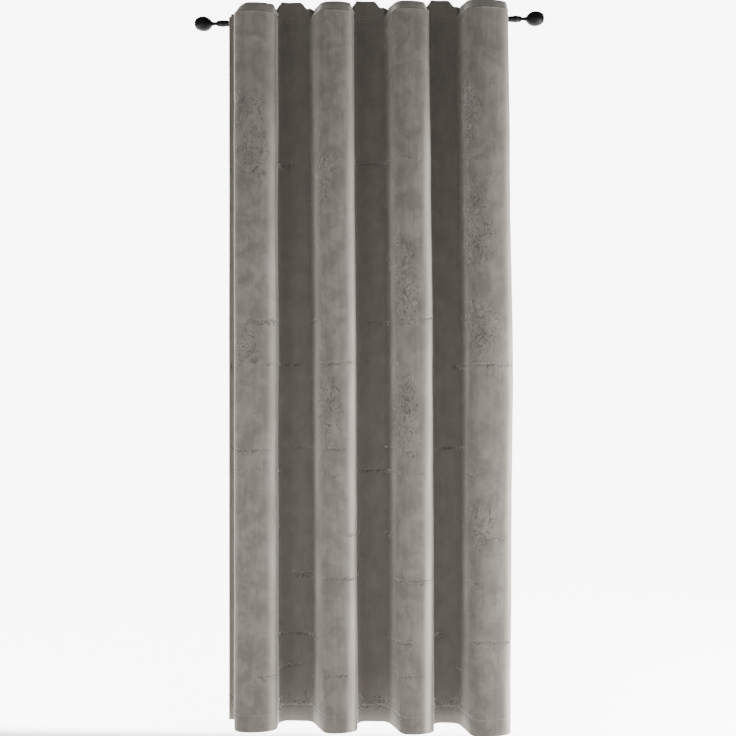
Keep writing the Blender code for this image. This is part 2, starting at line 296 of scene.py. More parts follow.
# Surface of the cloth as rows of heights and columns along its width
def clothSurface():
    routeX = np.array([np.interp(columns, along, w[1]) for w in walked])
    routeY = np.array([np.interp(columns, along, w[2]) for w in walked])
    keyHeights = [key["height"] for key in routeKeys]
    points = np.zeros((len(heights), len(columns), 3))
    for row, height in enumerate(heights):
        lower = max(k for k, h in enumerate(keyHeights[:-1]) if h <= height + 1e-9)
        share = smooth((height - keyHeights[lower]) / (keyHeights[lower + 1] - keyHeights[lower]))
        points[row, :, 0] = routeX[lower] * (1 - share) + routeX[lower + 1] * share
        points[row, :, 1] = routeY[lower] * (1 - share) + routeY[lower + 1] * share
        points[row, :, 2] = cloth["footHeight"] + min(height, cloth["seamHeight"])
    # Above the seam the header tips back over the front folds and gives way at their flanks
    x, y = np.interp(columns, along, walked[-1][1]), np.interp(columns, along, walked[-1][2])
    sideGap = np.minimum(columns, cloth["flatWidth"] - columns)
    nearEdge = smooth((header["edgeReach"] - sideGap) / header["edgeFade"])
    clear = header["clear"] + header["edgeClear"] * nearEdge
    forward = smooth((cloth["backY"] - y - clear) / header["leanDepth"])
    heading = np.arctan2(np.gradient(y, columns), np.gradient(x, columns))
    gusset = 4 * forward * (1 - forward)
    sway = np.array([noise.noise((s * 9, 0, 3.1)) for s in columns])
    lean = np.radians(header["lean"] + header["leanSway"] * sway) * forward
    trim = header["trim"] * (1 - columns / cloth["flatWidth"]) + header["trimSway"] * sway
    # Notches between the tongues of the header, and a corner that slopes away at the left
    dips = np.zeros(len(columns))
    flanks = [(piece[1], low, high) for piece, low, high in walked[-1][3] if piece[3] == "flank"]
    for angle, low, high in flanks[1:-1]:
        leftSide = angle < 0
        start, end = (low - 0.010, low + 0.008) if leftSide else (low - 0.008, high + 0.004)
        before, after = (0.024, 0.015) if leftSide else (0.015, 0.024)
        shown = smooth((columns - start + before) / before) * smooth((end + after - columns) / after)
        dips = np.maximum(dips, header["notch"] * shown)
    corner = flanks[0][2]
    slope = np.interp(columns, [0, corner + 0.004, corner + 0.020, corner + 0.045], [0.040, 0.026, 0.010, 0])
    dips = np.maximum(dips, slope)
    lastStart = flanks[-1][1]
    dips = np.maximum(dips, header["lastDip"] * smooth((columns - lastStart + 0.006) / 0.020))
    # The right top corner tucks in towards the rod
    tucked = smooth((columns - cloth["flatWidth"] + header["tuckReach"]) / header["tuckFade"])
    for row, height in enumerate(heights):
        rise = height - cloth["seamHeight"]
        if rise <= 0:
            continue
        share = rise / (cloth["height"] - cloth["seamHeight"])
        inward = rise * header["gather"] * gusset
        points[row, :, 0] -= np.sin(heading) * inward
        points[row, :, 1] += np.cos(heading) * inward + rise * np.sin(lean)
        points[row, :, 2] += rise * np.cos(lean) + trim * share - dips * share**1.2
        past = max(0.0, rise - header["tuckStart"]) * tucked
        points[row] += past[:, None] * np.array(header["tuckMove"])
    return points


# Out of the front at each point
def surfaceNormals(points):
    acrossGrid = np.gradient(points, axis=1)
    upGrid = np.gradient(points, axis=0)
    normals = np.cross(acrossGrid, upGrid)
    return normals / np.linalg.norm(normals, axis=2, keepdims=True)


# Each crease wanders up and down, and shows only in stretches
def creaseLine(number):
    wander = 0.009 * np.array([noise.noise((s * 6, number * 3.7, 0.5)) for s in columns])
    shown = np.array([noise.noise((s * 11, number * 5.1, 2.5)) for s in columns])
    return wander[None, :], smooth((shown - 0.02) * 2.8)[None, :]


# How far each point stands out from the smooth surface, in metres
def relief():
    h = heights[:, None]
    held = smooth((cloth["seamHeight"] - 0.02 - h) / 0.12)  # the header is flatter than the drop
    bumps = 0.0016 * gridNoise(9, 3.2, 1.7) * held
    bumps += 0.0007 * gridNoise(26, 12, 5.3) * (0.25 + 0.75 * held)
    bumps += 0.00030 * gridNoise(70, 38, 8.8)
    for number, (place, depth) in enumerate(creases):
        wander, shown = creaseLine(number)
        bumps -= depth * 0.8 * bell(h - place - wander, 0.0036) * shown
        bumps += depth * 0.4 * bell(h - place - 0.0065 - wander, 0.0036) * shown
    for seam, gather in ((cloth["hemHeight"], 0.0012), (cloth["seamHeight"] - 0.002, 0.00096)):
        pucker = np.array([noise.noise((v * 55, seam * 9, 4.2)) for v in columns])[None, :]
        bumps -= 0.0008 * bell(h - seam, 0.0022)
        bumps += 0.0006 * bell(h - seam - 0.006, 0.004)
        bumps += gather * pucker * bell(h - seam, 0.016)
    backness = smooth((surface[:, :, 1] + 0.045) / 0.030)
    return bumps * (1 - 0.85 * backness * bell(h - cloth["seamHeight"], 0.035))


surface = clothSurface()
surface += surfaceNormals(surface) * relief()[:, :, None]
surface[:, :, 2] -= 0.0030 * gridNoise(5, 0.4, 9.4) * smooth((0.5 - heights) / 0.5)[:, None]
normals = surfaceNormals(surface)
print("surface:", len(heights), "rows,", len(columns), "columns")


# One length of cloth with its header, foot and sides turned over behind it
def makeCloth():
    hemRows = [k for k, h in enumerate(heights) if 0 < h <= cloth["hemHeight"] + cloth["allowance"]]
    bandFoot = cloth["seamHeight"] - cloth["allowance"]
    bandRows = [k for k, h in enumerate(heights) if bandFoot <= h < heights[-1]]
    last = len(heights) - 1
    rowPlan = [(k, 1.0, -heights[k]) for k in reversed(hemRows)]
    rowPlan += [(k, 0.5 if k in (0, last) else 0.0, heights[k]) for k in range(last + 1)]
    rowPlan += [(k, 1.0, 2 * heights[-1] - heights[k]) for k in reversed(bandRows)]
    width = cloth["flatWidth"]
    leftColumns = [k for k, s in enumerate(columns) if 0 < s <= cloth["sideHem"]]
    rightColumns = [k for k, s in enumerate(columns) if width - cloth["sideHem"] <= s < width - 1e-6]
    end = len(columns) - 1
    columnPlan = [(k, 1.0, -columns[k]) for k in reversed(leftColumns)]
    columnPlan += [(k, 0.5 if k in (0, end) else 0.0, columns[k]) for k in range(end + 1)]
    columnPlan += [(k, 1.0, 2 * width - columns[k]) for k in reversed(rightColumns)]
    rowAt = np.array([plan[0] for plan in rowPlan])
    columnAt = np.array([plan[0] for plan in columnPlan])
    rowFold = np.array([plan[1] for plan in rowPlan])[:, None]
    columnFold = np.array([plan[1] for plan in columnPlan])[None, :]
    nearSide = np.minimum(columns, width - columns)[columnAt]
    doubled = smooth((cloth["sideHem"] + 0.016 - nearSide) / 0.014)[None, :]
    behind = rowFold * (1 + 2 * doubled - 2 * columnFold) + columnFold
    nearRod = smooth((heights[rowAt] - cloth["seamHeight"] + 0.055) / 0.020)[:, None]
    spacing = cloth["layer"] * (1 - nearRod * doubled * 2 / 3)
    grid = surface[rowAt][:, columnAt] - normals[rowAt][:, columnAt] * (spacing * behind)[:, :, None]
    across = np.array([plan[2] for plan in columnPlan])
    up = np.array([plan[2] for plan in rowPlan])
    obj = gridObject("velvetPanel", grid, across, up)
    frontness = smooth((-0.040 - surface[:, :, 1]) / 0.04)
    for name, values in (("paintedHighlightMask", paintedHighlightMask()), ("crinklesAndPaintedShade", crinklesAndPaintedShade()), ("frontness", frontness)):
        stored = obj.data.attributes.new(name, "FLOAT", "POINT")
        stored.data.foreach_set("value", values[rowAt][:, columnAt].reshape(-1))
    return obj


# Painted highlight, 0 to 1: a pale sheen painted along the right edge of each fold front and in a strip on
# the flank to its left, fading towards the top, with painted light on the header
def paintedHighlightMask():
    s = columns[None, :]
    h = heights[:, None]
    shown = np.zeros((len(heights), len(columns)))
    faces = [(low, high) for piece, low, high in middleSpans if piece[3] == "face"]
    for number, (low, high) in enumerate(faces):
        strength = 0.85 + 0.5 * np.array([noise.noise((number * 7.7, v * 5, 1.1)) for v in heights])[:, None]
        past = s - high
        share = 0.7 if number == 0 else 1.0
        shown += strength * share * bell(np.minimum(past, 0), 0.014) * bell(np.maximum(past, 0), 0.009)
        strength = 0.75 + 0.6 * np.array([noise.noise((number * 9.1, v * 6, 6.1)) for v in heights])[:, None]
        shown += strength * 0.50 * bell(s - low + 0.056, 0.019)
    held = 0.45 + 0.55 * smooth((cloth["seamHeight"] - 0.1 - h) / 0.5)
    # Painted light on the header: pale where it tips back over the front folds, as if lit from above, and
    # faint over the back folds
    front = smooth((-0.045 - surface[:, :, 1]) / 0.03)
    above = smooth((h - cloth["seamHeight"] - 0.001) / 0.004)
    return np.clip(shown * held * (1 - above) + above * (0.06 + 0.62 * front), 0, 1)


# Patches of fine crinkles left by packing: (distance along the cloth, height, half width, half height)
crinklePatches = [(0.135, 1.80, 0.035, 0.05), (0.150, 1.66, 0.03, 0.06), (0.460, 0.93, 0.028, 0.07)]
crinklePatches += [(0.775, 1.36, 0.04, 0.05), (0.780, 0.93, 0.035, 0.08), (0.800, 1.24, 0.03, 0.04)]
crinklePatches += [(1.115, 1.46, 0.04, 0.09), (1.120, 1.17, 0.045, 0.06), (1.100, 1.78, 0.03, 0.07)]
crinklePatches += [(0.455, 1.60, 0.03, 0.05), (1.130, 0.60, 0.03, 0.05), (0.130, 1.10, 0.025, 0.05)]


# Painted shade, 0 to 2: in the crinkle patches, in the hem's wrinkles on the back folds and along the packing
# creases; it also places the crinkles' bumps
def crinklesAndPaintedShade():
    s = columns[None, :]
    h = heights[:, None]
    shown = np.zeros((len(heights), len(columns)))
    for place, height, wide, tall in crinklePatches:
        shown += bell(s - place, wide) * bell(h - height, tall)
    backs = smooth((surface[:, :, 1] + 0.055) / 0.03)
    # Painted shade of the wrinkles at the hem, on the back folds
    shown += 0.5 * backs * bell(h - cloth["hemHeight"] - 0.012, 0.017)
    for number, (place, _) in enumerate(creases):
        wander, line = creaseLine(number)
        shown += 2.0 * line * bell(h - place - wander, 0.0034)
    return np.clip(shown + 0.25, 0, 2)


def gridObject(name, grid, across, up):
    rowCount, columnCount = grid.shape[:2]
    corner = np.arange(rowCount * columnCount).reshape(rowCount, columnCount)
    faces = np.stack([corner[:-1, :-1], corner[:-1, 1:], corner[1:, 1:], corner[1:, :-1]], axis=-1)
    obj = newPiece(name, grid.reshape(-1, 3).tolist(), faces.reshape(-1, 4).tolist())
    layer = obj.data.uv_layers.new(name="clothMetres")
    flat = np.stack(np.meshgrid(across, up), axis=-1).reshape(-1, 2)
    layer.data.foreach_set("uv", flat[faces.reshape(-1)].reshape(-1))
    return obj


# Point on the cloth and its normal, from a distance along it and a height
def onCloth(distance, height):
    c = np.clip(np.interp(distance, columns, np.arange(len(columns))), 0, len(columns) - 1.001)
    r = np.clip(np.interp(height, heights, np.arange(len(heights))), 0, len(heights) - 1.001)
    c0, r0 = int(c), int(r)
    fc, fr = c - c0, r - r0

    def blend(grid):
        low = grid[r0, c0] * (1 - fc) + grid[r0, c0 + 1] * fc
        high = grid[r0 + 1, c0] * (1 - fc) + grid[r0 + 1, c0 + 1] * fc
        return Vector(low * (1 - fr) + high * fr)

    return blend(surface), blend(normals).normalized()


stitch = {"length": 0.0034, "pitch": 0.0044, "thickness": 0.00055, "sides": 5, "fromEdge": 0.003}


# A row of lockstitches that dip into the cloth at their ends
def makeStitches(name, path):
    vertices, faces = [], []
    for start, middle, end in path:
        first = len(vertices)
        sideways = (end[0] - start[0]).cross(middle[1]).normalized()
        for (point, normal), lift, size in ((start, -0.4, 0.55), (middle, 0.45, 1.0), (end, -0.4, 0.55)):
            radius = stitch["thickness"] / 2 * size
            centre = point + normal * stitch["thickness"] * lift
            for k in range(stitch["sides"]):
                turn = math.tau * k / stitch["sides"]
                spoke = sideways * math.cos(turn) + normal * math.sin(turn)
                vertices.append(centre + spoke * radius)
        sides = stitch["sides"]
        for ring in range(2):
            for k in range(sides):
                a, b = first + ring * sides + k, first + ring * sides + (k + 1) % sides
                faces.append((a, b, b + sides, a + sides))
        faces.append(tuple(first + k for k in reversed(range(sides))))
        faces.append(tuple(first + 2 * sides + k for k in range(sides)))
    return newPiece(name, vertices, faces)


# Points along a seam, three to a stitch
def stitchRow(low, high):
    count = int((high - low) / stitch["pitch"])
    starts = [low + k * stitch["pitch"] for k in range(count)]
    half = stitch["length"] / 2
    return [[start + shift for shift in (0, half, 2 * half)] for start in starts]


def acrossStitches(height):
    rows = stitchRow(stitch["fromEdge"], cloth["flatWidth"] - stitch["fromEdge"])
    return [[onCloth(s, height) for s in row] for row in rows]


def upStitches(distance, low, high):
    return [[onCloth(distance, h) for h in row] for row in stitchRow(low, high)]


# Crushed velvet, a cut pile pressed in packing: dark face on and pale at a glancing angle, with a painted
# highlight along the bends at the fold fronts and painted shade in the crinkles and creases
velvet = {
    "pile": "#57534d",
    "pressed": "#504c47",
    "raised": "#5e5a54",
    # Painted highlight: the pale colour laid along the fold edges, on the flanks and on the header
    "paintedHighlight": "#99948b",
    # Painted shade: the dark colour for the crinkles, the creases and the hem's wrinkles
    "paintedShadeAndVeins": "#3b3834",
    "sheen": "#e9e6df",
    # Each pattern's size in metres and stretch up the cloth, then its detail, roughness and distortion
    "patterns": {
        "patch": {"size": 0.055, "up": 0.85, "detail": 6.0, "roughness": 0.66, "distortion": 0.35},
        "streak": {"size": 0.012, "up": 0.07, "detail": 3.0, "roughness": 0.6, "distortion": 0.0},
        "crinkle": {"size": 0.020, "up": 0.7, "detail": 4.0, "roughness": 0.55, "distortion": 1.4},
        "spread": {"size": 0.022, "up": 1.0, "detail": 2.0, "roughness": 0.5, "distortion": 0.0},
        # The pile is drawn coarser than the real 0.2 mm, so that it shows
        "fibre": {"size": 0.0012, "up": 0.6, "detail": 2.0, "roughness": 0.5, "distortion": 0.0},
    },
}


def velvetMaterial(name, uvName):
    material, tree, shader = newMaterial(name, {"Roughness": 0.85, "Specular IOR Level": 0.15})
    flat = addNode(tree, "ShaderNodeUVMap", (-2200, 0), {"uv_map": uvName})
    pattern = {}
    for row, (kind, look) in enumerate(velvet["patterns"].items()):
        stretched = addNode(
            tree,
            "ShaderNodeMapping",
            (-1900, 600 - 320 * row),
            None,
            {"Scale": (1.0, look["up"], 1.0)},
            {"Vector": flat.outputs["UV"]},
        )
        values = {"Scale": 1 / look["size"], "Detail": look["detail"]}
        values.update({"Roughness": look["roughness"], "Distortion": look["distortion"]})
        speckle = addNode(
            tree,
            "ShaderNodeTexNoise",
            (-1650, 600 - 320 * row),
            None,
            values,
            {"Vector": stretched.outputs["Vector"]},
        )
        pattern[kind] = speckle.outputs["Fac"]
    stored = {}
    for row, attribute in enumerate(("frontness", "paintedHighlightMask", "crinklesAndPaintedShade")):
        reader = addNode(tree, "ShaderNodeAttribute", (-1900, 900 + 180 * row), {"attribute_name": attribute})
        stored[attribute] = reader.outputs["Fac"]

    # Mottling: patches with streaks in them, calmest on the back folds
    patchShare = addNode(
        tree, "ShaderNodeMath", (-1500, 550), {"operation": "MULTIPLY"}, {1: 0.75}, {0: pattern["patch"]}
    )
    mottled = addNode(
        tree,
        "ShaderNodeMath",
        (-1400, 400),
        {"operation": "MULTIPLY_ADD"},
        {1: 0.25},
        {0: pattern["streak"], 2: patchShare.outputs["Value"]},
    )
    strength = addNode(
        tree,
        "ShaderNodeMath",
        (-1400, 700),
        {"operation": "MULTIPLY_ADD"},
        {1: 0.65, 2: 0.35},
        {0: stored["frontness"]},
    )
    centred = addNode(
        tree,
        "ShaderNodeMath",
        (-1250, 400),
        {"operation": "SUBTRACT"},
        {1: 0.5},
        {0: mottled.outputs["Value"]},
    )
    lie = addNode(
        tree,
        "ShaderNodeMath",
        (-1100, 400),
        {"operation": "MULTIPLY_ADD"},
        {2: 0.5},
        {0: centred.outputs["Value"], 1: strength.outputs["Value"]},
    )
    ramp = addNode(tree, "ShaderNodeValToRGB", (-950, 400), None, None, {"Fac": lie.outputs["Value"]})
    ramp.color_ramp.elements[0].position = 0.42
    ramp.color_ramp.elements[0].color = linearColour(velvet["pressed"])
    ramp.color_ramp.elements[1].position = 0.58
    ramp.color_ramp.elements[1].color = linearColour(velvet["raised"])
    middle = ramp.color_ramp.elements.new(0.5)
    middle.color = linearColour(velvet["pile"])

    # Painted shade in the crinkles: thin dark veins where the noise crosses its middle, kept to the crinkle
    # patches. The packing creases get painted shade as well.
    offMiddle = addNode(
        tree, "ShaderNodeMath", (-1400, -500), {"operation": "SUBTRACT"}, {1: 0.5}, {0: pattern["crinkle"]}
    )
    ridge = addNode(
        tree,
        "ShaderNodeMath",
        (-1250, -500),
        {"operation": "ABSOLUTE"},
        None,
        {0: offMiddle.outputs["Value"]},
    )
    vein = addNode(
        tree,
        "ShaderNodeMapRange",
        (-1100, -500),
        {"interpolation_type": "SMOOTHSTEP"},
        {"From Min": 0.0, "From Max": 0.035, "To Min": 1.0, "To Max": 0.0},
        {"Value": ridge.outputs["Value"]},
    )
    spread = addNode(
        tree,
        "ShaderNodeMath",
        (-1250, -750),
        {"operation": "MULTIPLY"},
        None,
        {0: stored["crinklesAndPaintedShade"], 1: pattern["spread"]},
    )
    where = addNode(
        tree,
        "ShaderNodeMapRange",
        (-1100, -750),
        {"interpolation_type": "SMOOTHSTEP"},
        {"From Min": 0.12, "From Max": 0.36},
        {"Value": spread.outputs["Value"]},
    )
    paintedShadeAndVeins = addNode(
        tree,
        "ShaderNodeMath",
        (-900, -600),
        {"operation": "MULTIPLY"},
        None,
        {0: vein.outputs["Result"], 1: where.outputs["Result"]},
    )
    creased = addNode(
        tree,
        "ShaderNodeMapRange",
        (-1100, -1000),
        {"interpolation_type": "SMOOTHSTEP"},
        {"From Min": 1.15, "From Max": 2.0, "To Max": 0.45},
        {"Value": stored["crinklesAndPaintedShade"]},
    )
    darkened = addNode(
        tree,
        "ShaderNodeMath",
        (-750, -700),
        {"operation": "MAXIMUM"},
        None,
        {0: paintedShadeAndVeins.outputs["Value"], 1: creased.outputs["Result"]},
    )

    # Colour: the painted highlight is laid over the mottling, and the painted shade of the crinkles and
    # creases over both
    paintedHighlightStreaks = addNode(
        tree,
        "ShaderNodeMath",
        (-1100, -150),
        {"operation": "MULTIPLY_ADD"},
        {1: 0.9, 2: 0.45},
        {0: pattern["streak"]},
    )
    paintedHighlightShare = addNode(
        tree,
        "ShaderNodeMath",
        (-950, -150),
        {"operation": "MULTIPLY"},
        None,
        {0: stored["paintedHighlightMask"], 1: paintedHighlightStreaks.outputs["Value"]},
    )
    darkShare = addNode(
        tree,
        "ShaderNodeMath",
        (-600, -500),
        {"operation": "MULTIPLY"},
        {1: 0.75},
        {0: darkened.outputs["Value"]},
    )
    pale = addNode(
        tree,
        "ShaderNodeMix",
        (-650, 300),
        {"data_type": "RGBA"},
        {7: linearColour(velvet["paintedHighlight"])},
        {0: paintedHighlightShare.outputs["Value"], 6: ramp.outputs["Color"]},
    )
    dark = addNode(
        tree,
        "ShaderNodeMix",
        (-450, 300),
        {"data_type": "RGBA"},
        {7: linearColour(velvet["paintedShadeAndVeins"])},
        {0: darkShare.outputs["Value"], 6: pale.outputs[2]},
    )

    # Relief: the lie of the pile, then the crinkles, then the fibres
    lay = addNode(
        tree,
        "ShaderNodeBump",
        (-600, -200),
        None,
        {"Strength": 0.35, "Distance": 0.0022},
        {"Height": lie.outputs["Value"]},
    )
    crease = addNode(
        tree,
        "ShaderNodeBump",
        (-420, -200),
        {"invert": True},
        {"Strength": 0.9, "Distance": 0.0028},
        {"Height": paintedShadeAndVeins.outputs["Value"], "Normal": lay.outputs["Normal"]},
    )
    nap = addNode(
        tree,
        "ShaderNodeBump",
        (-240, -200),
        None,
        {"Strength": 0.35, "Distance": 0.0004},
        {"Height": pattern["fibre"], "Normal": crease.outputs["Normal"]},
    )
    tree.links.new(dark.outputs[2], shader.inputs["Base Color"])
    tree.links.new(nap.outputs["Normal"], shader.inputs["Normal"])
    shader.inputs["Sheen Weight"].default_value = 0.85
    shader.inputs["Sheen Roughness"].default_value = 0.30
    shader.inputs["Sheen Tint"].default_value = linearColour(velvet["sheen"])
    return material


velvetCloth = velvetMaterial("crushedVelvet", "clothMetres")
# Spun polyester thread, dyed a little paler than the velvet: dull, with a slight fibre sheen
threadFinish, _, _ = newMaterial(
    "polyesterThread",
    {"Base Color": linearColour("#8a847a"), "Roughness": 0.6, "Sheen Weight": 0.3},
)

panel = makeCloth()
panel.data.materials.append(velvetCloth)
foldedNodes = ["panel_cloth", "header_band", "bottom_hem", "side_hem_left", "side_hem_right"]
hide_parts(*foldedNodes)

headerStitches = makeStitches("headerStitches", acrossStitches(cloth["seamHeight"] - 0.002))
hemStitches = makeStitches("hemStitches", acrossStitches(cloth["hemHeight"]))
sideSpan = (cloth["hemHeight"] + 0.004, cloth["seamHeight"] - 0.006)
inset = cloth["sideHem"] - cloth["allowance"]
leftStitches = makeStitches("sideStitchesLeft", upStitches(inset, *sideSpan))
rightStitches = makeStitches("sideStitchesRight", upStitches(cloth["flatWidth"] - inset, *sideSpan))
threads = {
    "header_seam_thread": headerStitches,
    "bottom_seam_thread": hemStitches,
    "side_seam_thread_left": leftStitches,
    "side_seam_thread_right": rightStitches,
}
for node, obj in threads.items():
    obj.data.materials.append(threadFinish)
    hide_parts(node)
print("cloth and stitches:", len(panel.data.polygons), "faces")

# Straps: folded tape from the header band, round behind the rod and back onto the cloth
tab = {
    "width": 0.026,
    "thickness": 0.0016,
    "loop": 0.0092,
    "onBand": -0.0070,
    "onCloth": -0.0091,
    "topEnd": 0.0252,
    "topSewn": 0.0135,
    "lowSewn": -0.0165,
    "lowEnd": -0.0342,
    "ribs": 0.002368,  # from rib to rib, coarser than the real 0.6 mm so that they show
    "places": (-0.39680, -0.21527, 0.00373, 0.22273, 0.39680),
}


# Side view of the strap's middle line as (y, z), from its top end to its low end
def tabLine():
    line = [(tab["onBand"], z) for z in np.linspace(tab["topEnd"], tab["topSewn"], 6)]
    sewn = line[-1]
    startTurn, endTurn = 96, -88  # degrees round the rod
    start = (tab["loop"] * math.cos(math.radians(startTurn)), tab["loop"] * math.sin(math.radians(startTurn)))
    for share in (0.3, 0.6, 0.85):
        y = sewn[0] + (start[0] - sewn[0]) * share**1.3
        line.append((y, sewn[1] + (start[1] - sewn[1]) * share))
    for turn in np.linspace(startTurn, endTurn, 22):
        sag = 1 + 0.05 * max(0, -math.sin(math.radians(turn)))
        radius, angle = tab["loop"] * sag, math.radians(turn)
        line.append((radius * math.cos(angle), radius * math.sin(angle)))
    last = line[-1]
    for share in (0.2, 0.45, 0.7, 0.88):
        y = last[0] + (tab["onCloth"] - last[0]) * share**0.8
        line.append((y, last[1] + (tab["lowSewn"] - last[1]) * share))
    return line + [(tab["onCloth"], z) for z in np.linspace(tab["lowSewn"], tab["lowEnd"], 8)]


def makeTab(name, place, uvName):
    line = [Vector((0, y, z)) for y, z in tabLine()]
    half, thick = tab["width"] / 2, tab["thickness"] / 2
    # Section of the tape: two rounded selvedges, and faces that are a little thinner in the middle
    selvedge = [(half - thick, thick), (half - 0.3 * thick, 0.7 * thick), (half, 0)]
    selvedge += [(half - 0.3 * thick, -0.7 * thick), (half - thick, -thick)]
    ring = selvedge + [(0, -thick * 0.94)]
    ring += [(-x, lift) for x, lift in reversed(selvedge)] + [(0, thick * 0.94)]
    vertices, faces, flat = [], [], []
    travelled = 0.0
    for k, point in enumerate(line):
        before, after = line[max(k - 1, 0)], line[min(k + 1, len(line) - 1)]
        along = (after - before).normalized()
        outward = along.cross(Vector((1, 0, 0))).normalized()
        travelled += (point - before).length
        wave = 0.0004 * noise.noise((place * 40, k * 0.35, 2.2))
        for x, lift in ring:
            vertices.append(Vector((place + x, 0, 0)) + point + outward * (lift + wave))
            flat.append((x, travelled))
    count = len(ring)
    for k in range(len(line) - 1):
        for c in range(count):
            n = (c + 1) % count
            faces.append((k * count + c, k * count + n, (k + 1) * count + n, (k + 1) * count + c))
    faces.append(tuple(reversed(range(count))))
    faces.append(tuple((len(line) - 1) * count + c for c in range(count)))
    obj = newPiece(name, vertices, faces)
    layer = obj.data.uv_layers.new(name=uvName)
    for loop in obj.data.loops:
        layer.data[loop.index].uv = flat[loop.vertex_index]
    return obj, travelled


# Rows of close stitches across the sewn ends of a strap
def tackPath(place):
    path = []
    spots = ((0, -0.0009), (0.0004, 0), (0.0008, 0.0009))  # each stitch slants
    for height, depth in ((0.0232, "onBand"), (0.0155, "onBand"), (-0.0190, "onCloth"), (-0.0322, "onCloth")):
        back = tab[depth] + tab["thickness"] / 2
        for k in range(17):
            x = place - 0.0112 + k * 0.0014
            path.append([(Vector((x + dx, back, height + dz)), Vector((0, 1, 0))) for dx, dz in spots])
    return path


# Woven twill tape: matt, with fine ribs that slant across it
tabTape, tapeTree, tapeShader = newMaterial(
    "twillTape",
    {
        "Base Color": linearColour("#4d4943"),
        "Roughness": 0.82,
        "Sheen Weight": 0.25,
        "Specular IOR Level": 0.2,
    },
)
tapeFlat = addNode(tapeTree, "ShaderNodeUVMap", (-1100, -200), {"uv_map": "tapeMetres"})
tapeTurn = addNode(
    tapeTree,
    "ShaderNodeMapping",
    (-900, -200),
    None,
    {"Rotation": (0.0, 0.0, math.radians(35))},
    {"Vector": tapeFlat.outputs["UV"]},
)
twill = addNode(
    tapeTree,
    "ShaderNodeTexWave",
    (-650, -200),
    None,
    {"Scale": math.tau / 20 / tab["ribs"], "Distortion": 0.4, "Detail": 1.0},
    {"Vector": tapeTurn.outputs["Vector"]},
)
tapeBump = addNode(
    tapeTree,
    "ShaderNodeBump",
    (-350, -200),
    None,
    {"Strength": 0.5, "Distance": 0.0003},
    {"Height": twill.outputs["Fac"]},
)
tapeTree.links.new(tapeBump.outputs["Normal"], tapeShader.inputs["Normal"])

for number, place in enumerate(tab["places"], start=1):
    strap, length = makeTab(f"backTab{number}", place, "tapeMetres")
    strap.data.materials.append(tabTape)
    tacks = makeStitches(f"barTacks{number}", tackPath(place))
    tacks.data.materials.append(threadFinish)
    body = "panel" if number == 1 else f"tab_{number}"
    for obj in (strap, tacks):
        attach(obj, body)
    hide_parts(f"back_tab_{number}")
print("straps: length", round(length, 4))

# Sprayed satin enamel on steel tube: near black, with a faint orange peel and soft, wide highlights
blackPaint, paintTree, paintShader = newMaterial(
    "satinBlackPaint",
    {"Base Color": linearColour("#0f0f11"), "Roughness": 0.48, "IOR": 1.3, "Specular IOR Level": 0.3},
)
paintSpot = addNode(paintTree, "ShaderNodeTexCoord", (-900, -200))
orange = addNode(
    paintTree,
    "ShaderNodeTexNoise",
    (-650, -200),
    None,
    {"Scale": 1 / 0.0025, "Detail": 2.0},
    {"Vector": paintSpot.outputs["Object"]},
)
paintBump = addNode(
    paintTree,
    "ShaderNodeBump",
    (-350, -200),
    None,
    {"Strength": 0.12, "Distance": 0.0002},
    {"Height": orange.outputs["Fac"]},
)
paintTree.links.new(paintBump.outputs["Normal"], paintShader.inputs["Normal"])
# Cast black resin: deeper than the paint, smooth, with a soft shine
blackResin, _, _ = newMaterial(
    "glossBlackResin",
    {"Base Color": linearColour("#0b0b0c"), "Roughness": 0.42, "IOR": 1.25, "Specular IOR Level": 0.3},
)
# Zinc plated steel: bright, cool grey metal
zincSteel, _, _ = newMaterial(
    "zincPlatedSteel",
    {"Base Color": linearColour("#b9bcc0"), "Roughness": 0.33, "Metallic": 1.0},
)
# Moulded nylon with no dye: milky and waxy
nylon, _, _ = newMaterial("naturalNylon", {"Base Color": linearColour("#d2cdbd"), "Roughness": 0.5})

cadFinishes = {"rod_tube": blackPaint, "rod_insert_left": nylon, "rod_insert_right": nylon}
cadFinishes.update({"finial_stud_left": zincSteel, "finial_stud_right": zincSteel})
for node, finish in cadFinishes.items():
    cadNodes[node].data.materials.clear()
    cadNodes[node].data.materials.append(finish)

finial = {
    "sides": 48,
    "bore": 0.0033,
    "sleeve": 0.0083,
    "collarStart": 0.422,
    "wallStart": 0.4453,
    "collarEnd": 0.451,
    "knobStart": 0.4513,
    "holeEnd": 0.4736,
    "eggStart": 0.4665,
    "eggLength": 0.0545,
    "eggRadius": 0.0212,
    "neckRadius": 0.0062,  # the egg starts where it is wider than its neck
    "steps": 26,
}


